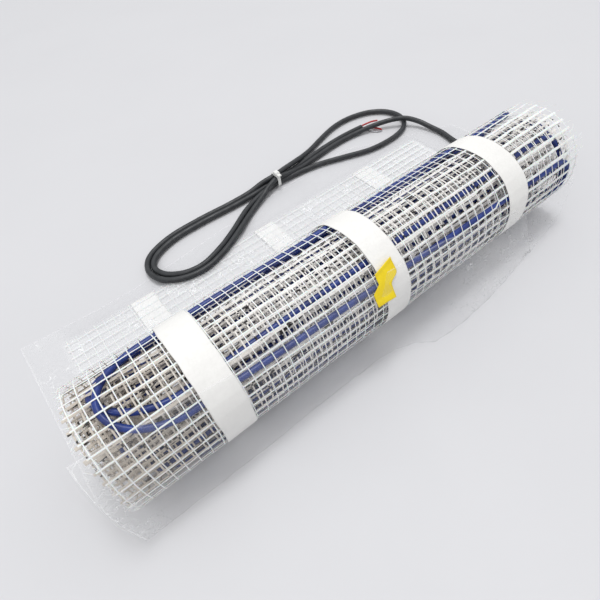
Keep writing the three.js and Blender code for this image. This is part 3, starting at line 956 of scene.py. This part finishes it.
class HEATMAT_OT_cable(bpy.types.Operator):
    """Make the blue heating cable in every turn of the roll, and its splice sleeve"""

    bl_idname = "heatmat.cable"
    bl_label = "Heating cable"

    def execute(self, context):
        line = cable_line()
        points, _ = on_mat(line[:, 0], line[:, 1], CABLE_DEPTH)
        flat = line[:, 1] < 0
        points[flat, 2] = np.maximum(points[flat, 2], TAIL_HIGH.z + CABLE_R)
        points, _ = through(points[::2], 4 * MM)
        cable = round_tube("cable", points, CABLE_R, 10, cable_material())
        finish_piece(cable, "heating_cable", "heating_cable")
        self.sleeve()
        return {"FINISHED"}

    def sleeve(self):
        """A heat-shrink sleeve, necked down over the cable and the lead."""
        low, high = SLEEVE_LOW, SLEEVE_HIGH
        length, radius = high.x - low.x, (high.z - low.z) / 2
        neck = 6 * MM
        profile = [(low.x, radius * 0.62), (low.x + 0.4 * MM, radius * 0.72)]
        for t in np.linspace(0, 1, 6):
            profile.append((low.x + 2 * MM + neck * t, radius * (0.74 + 0.22 * smooth(t))))
        for t in np.linspace(0.1, 0.9, 18):
            swell = 0.97 + 0.025 * math.sin(t * 31)
            profile.append((low.x + neck + 2 * MM + (length - 2 * neck - 4 * MM) * t, radius * swell))
        for t in np.linspace(1, 0, 6):
            profile.append((high.x - 2 * MM - neck * t, radius * (0.78 + 0.19 * smooth(t))))
        profile += [(high.x - 0.4 * MM, radius * 0.8), (high.x, radius * 0.72)]
        axis = ((low.y + high.y) / 2, (low.z + high.z) / 2)
        sleeve = turned("sleeve", profile, 24, axis, sleeve_material())
        finish_piece(sleeve, "sleeve", "splice_sleeve")


class HEATMAT_OT_tapes(bpy.types.Operator):
    """Make the three white tape strips, with the threads showing through them as ridges"""

    bl_idname = "heatmat.tapes"
    bl_label = "Tape strips"

    def execute(self, context):
        white = tape_material()
        for node in ("tape_left", "tape_middle", "tape_right"):
            low, high = (Vector(c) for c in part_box(node))
            tape = self.strip(node.replace("tape", "strip"), low.x, high.x, white)
            finish_piece(tape, "tape", node)
        return {"FINISHED"}

    def strip(self, name, x0, x1, material):
        s = np.arange(-TAIL_END, length_at(math.radians(342)), 1.5 * MM)
        x = np.linspace(x0, x1, 23)
        grid_s, grid_x = np.meshgrid(s, x, indexing="ij")
        rows = np.cos(2 * math.pi * (grid_s - FIRST_THREAD) / THREAD_PITCH)
        rings = np.cos(2 * math.pi * (grid_x + END_X - MM) / THREAD_PITCH)
        ridge = 0.16 * MM * np.maximum(rows, 0) ** 3 + 0.13 * MM * np.maximum(rings, 0) ** 6
        wear = 0.05 * MM * FINE_RIPPLE(grid_x * 2, grid_s * 2)
        edge = 0.35 * MM * EDGE_RIPPLE(0.1, grid_s * 2) * np.sign(grid_x - (x0 + x1) / 2)
        across = np.abs(grid_x - (x0 + x1) / 2) / ((x1 - x0) / 2)
        points, normals = on_mat(grid_x + edge * (across > 0.98), grid_s, -0.42 * MM)
        roll = (grid_s >= 0)[..., None]
        centre = np.stack([points[..., 0], np.zeros_like(grid_x), np.full_like(grid_x, AXIS_Z)], -1)
        span = np.linalg.norm(points - centre, axis=-1, keepdims=True)
        limit = TAPE_R - 0.3 * MM
        held = centre + (points - centre) / span * np.minimum(span, limit)
        points = np.where(roll, held, points)
        outer = points + normals * (ridge + wear + 0.1 * MM)[..., None]
        inner = points - normals * 0.06 * MM
        verts = np.concatenate([outer.reshape(-1, 3), inner.reshape(-1, 3)])
        return new_mesh(name, verts, sheet_faces(*grid_s.shape), material)


class HEATMAT_OT_tag(bpy.types.Operator):
    """Make the yellow tag"""

    bl_idname = "heatmat.tag"
    bl_label = "Tag"

    def execute(self, context):
        low, high = (Vector(c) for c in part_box("cable_tag"))
        yellow = tag_material()
        # One label down the roll's front, its lower half set over to the left.
        rows, cols = 41, 17
        u = np.linspace(0, 1, rows)[:, None]
        v = np.linspace(-1, 1, cols)[None, :]
        shift = smooth((u - 0.36) / 0.24)
        upper, lower = high.x - 12.3 * MM, low.x + 11.8 * MM
        width = 20 * MM - MM * shift
        x = upper + (lower - upper) * shift + v * width / 2
        tilt = 2.6 * v * (1 - shift) - 0.8 * v * shift
        angle = np.radians(47 - 30 * u + tilt * smooth(np.abs(u - 0.45) * 4))
        curl = 1.3 * MM * smooth((u - 0.75) / 0.25) + 0.9 * MM * smooth((0.14 - u) / 0.14)
        fold = 0.2 * MM * v**2
        radius = TAPE_R + 0.6 * MM + curl + fold + 0.12 * MM * FINE_RIPPLE(x * 2, angle * 0.1)
        front = np.stack([x, -radius * np.cos(angle), AXIS_Z + radius * np.sin(angle)], -1)
        inward = np.stack([0 * x, np.cos(angle), -np.sin(angle)], -1) * 0.22 * MM
        verts = np.concatenate([front.reshape(-1, 3), (front + inward).reshape(-1, 3)])
        tag = new_mesh("tag", verts, sheet_faces(rows, cols)[:, ::-1], yellow)
        finish_piece(tag, "tag", "cable_tag")
        return {"FINISHED"}


class HEATMAT_OT_film(bpy.types.Operator):
    """Make the clear film under the roll, over its free end and up its front, with its folds"""

    bl_idname = "heatmat.film"
    bl_label = "Film"

    def execute(self, context):
        cols = 210
        ends = np.array([0, 0.0012, 0.003, 0.007])
        across = np.concatenate([ends, np.linspace(0.012, 0.988, cols - 8), 1 - ends[::-1]])
        x = (FILM_RISE[0][0] + (FILM_HIGH.x / MM - FILM_RISE[0][0]) * across)[None, :]
        behind_rows, front_rows = 52, 96
        behind = np.concatenate([[0, 0.003, 0.008], np.linspace(0.02, 1, behind_rows - 3)])[:, None]
        t = np.concatenate([np.linspace(0.01, 0.985, front_rows - 3), [0.991, 0.996, 1]])[:, None]
        back = np.interp(x, *zip(*FILM_BACK))
        table = np.array(FILM_RISE)
        foot = np.interp(x, table[:, 0], table[:, 1])
        top = np.interp(x, table[:, 0], table[:, 2])
        back_y = back * (1 - behind)
        back_z = np.full_like(back_y, FILM_LOW_Z) + self.over_free_end(x, back_y)
        front_y, front_z = self.rise(t, foot, top)
        y = np.concatenate([back_y, front_y])
        z = np.concatenate([back_z, front_z])
        x = np.broadcast_to(x, y.shape)
        y, z = self.creased(x, y, z)
        # The left edge lies further out on the floor than it does on the roll.
        left = np.interp(y, *zip(*FILM_LEFT))
        on_floor = smooth((12 - z) / 10) * smooth((-190 - x) / 72)
        x = x + (left - FILM_RISE[0][0]) * on_floor
        radius = TAPE_R / MM + FILM_CLEARANCE
        off_z = z - AXIS_Z / MM
        span = np.hypot(y, off_z)
        inside = (span < radius) & (np.abs(x) < END_X / MM + 8) & (y < 2)
        push = np.where(inside, radius / np.maximum(span, 1e-6), 1.0)
        y, z = y * push, AXIS_Z / MM + off_z * push
        z = np.maximum(z, 0.15)
        points = np.stack([x, y, z], -1).reshape(-1, 3) * MM
        rows_n, cols_n = y.shape
        film = new_mesh("film", points, grid_faces(rows_n, cols_n), film_material())
        # Painted highlight: the outermost rows and columns mark the cut edge that is drawn white.
        rim = np.zeros((rows_n, cols_n))
        rim[:2], rim[-2:], rim[:, :2], rim[:, -2:] = 1, 1, 1, 1
        lying = smooth((6 - z) / 4)
        over_end = smooth((np.abs(y - 90) - 80) / -16) * smooth((258 - np.abs(x)) / 10)
        at_left = smooth((-236 - x) / 22)
        # Painted sheen: where the film is crumpled, at its left end, over the free end and less at
        # the right front, it is whitened.
        crumple_sheen = np.clip(over_end + at_left, 0, 1)
        loose_front = smooth((x - 40) / 50) * smooth((-25 - y) / 10)
        crumple_sheen = np.maximum(crumple_sheen, 0.55 * loose_front)
        # Painted shade and reflection: more opaque where the film stands before the roll, grey there,
        # and most opaque over the free end, whitened there.
        shade_and_sheen_veil = 0.06 + 1.5 * over_end + 0.18 * (1 - lying) + 0.2 * at_left
        for name, values in (("rim", rim), ("crumple_sheen", crumple_sheen), ("shade_and_sheen_veil", shade_and_sheen_veil)):
            layer = film.data.attributes.new(name, "FLOAT", "POINT")
            layer.data.foreach_set("value", values.reshape(-1).astype(np.float32))
        finish_piece(film, "film", "film_sheet", "film_front")
        return {"FINISHED"}

    def over_free_end(self, x, y):
        """Height over the floor where the film lies over the mat's free end."""
        end = TAIL_END / MM
        along = smooth((end + 9 - y) / 9) * smooth((y - 12) / 14)
        return (TAIL_HIGH.z / MM + FILM_CLEARANCE) * along * smooth((END_X / MM + 10 - np.abs(x)) / 9)

    def rise(self, t, foot, top):
        """The film in front of the axis: on the floor, straight up to the roll and round it."""
        axis, radius, low = AXIS_Z / MM, TAPE_R / MM + FILM_CLEARANCE, FILM_LOW_Z
        touch = 2 * np.arctan(foot / axis) - math.pi / 2
        touch_z = axis + radius * np.sin(touch)
        straight_top = np.minimum(np.maximum(top, low), touch_z)
        straight = (straight_top - low) / np.cos(touch)
        top_angle = np.arcsin(np.clip((top - axis) / radius, -1, 1))
        arc = np.where(top > touch_z, radius * (top_angle - touch), 0)
        run = t * (foot + straight + arc)
        climb = run - foot
        angle = touch + np.maximum(0, climb - straight) / radius
        below = np.maximum(0, straight - climb) + (touch_z - straight_top) / np.cos(touch)
        slack = 2.2 * np.sin(np.clip(climb / np.maximum(straight, 1), 0, 1) * math.pi)
        y = -radius * np.cos(angle) - below * np.sin(touch) - slack * np.cos(touch)
        z = axis + radius * np.sin(angle) - below * np.cos(touch)
        on_floor = climb < 0
        return np.where(on_floor, -run, y), np.where(on_floor, low, z)

    def creased(self, x, y, z):
        """Soft folds where the film lies free, none where the roll presses it down."""
        broad, fine = Ripple(SEED + 10, 70), Ripple(SEED + 11, 24)
        wave = 0.5 + 0.5 * broad(x * 0.6, y * 1.2 + z) + 0.35 * fine(x, y * 1.4 + z)
        free = smooth((np.abs(y) - 25) / 30)
        lying = smooth((8 - z) / 6)
        height = free * (0.5 + 0.8 * smooth((x + 60) / 70)) * np.abs(wave)
        return y - height * 0.7 * (1 - lying) * (y < 0), z + height * lying


class HEATMAT_PT_panel(bpy.types.Panel):
    bl_label = "Heating Mat"
    bl_idname = "HEATMAT_PT_panel"
    bl_space_type = "VIEW_3D"
    bl_region_type = "UI"
    bl_category = "Heating Mat"

    def draw(self, context):
        layout = self.layout
        for group in (context.scene.heatmat_mat, context.scene.heatmat_studio):
            box = layout.box()
            for name in group.__annotations__:
                box.prop(group, name)
        for operator in OPERATORS:
            layout.operator(operator.bl_idname)


OPERATORS = (
    HEATMAT_OT_studio,
    HEATMAT_OT_cold_lead,
    HEATMAT_OT_mesh,
    HEATMAT_OT_cable,
    HEATMAT_OT_tapes,
    HEATMAT_OT_tag,
    HEATMAT_OT_film,
)
CLASSES = (MatSettings, StudioSettings, *OPERATORS, HEATMAT_PT_panel)


def register():
    for cls in CLASSES:
        bpy.utils.register_class(cls)
    bpy.types.Scene.heatmat_mat = bpy.props.PointerProperty(type=MatSettings)
    bpy.types.Scene.heatmat_studio = bpy.props.PointerProperty(type=StudioSettings)


def unregister():
    del bpy.types.Scene.heatmat_studio
    del bpy.types.Scene.heatmat_mat
    for cls in reversed(CLASSES):
        bpy.utils.unregister_class(cls)


def main():
    register()
    bpy.ops.heatmat.studio()
    bpy.ops.heatmat.cold_lead()
    bpy.ops.heatmat.mesh()
    bpy.ops.heatmat.cable()
    bpy.ops.heatmat.tapes()
    bpy.ops.heatmat.tag()
    bpy.ops.heatmat.film()


if __name__ == "__main__":
    main()
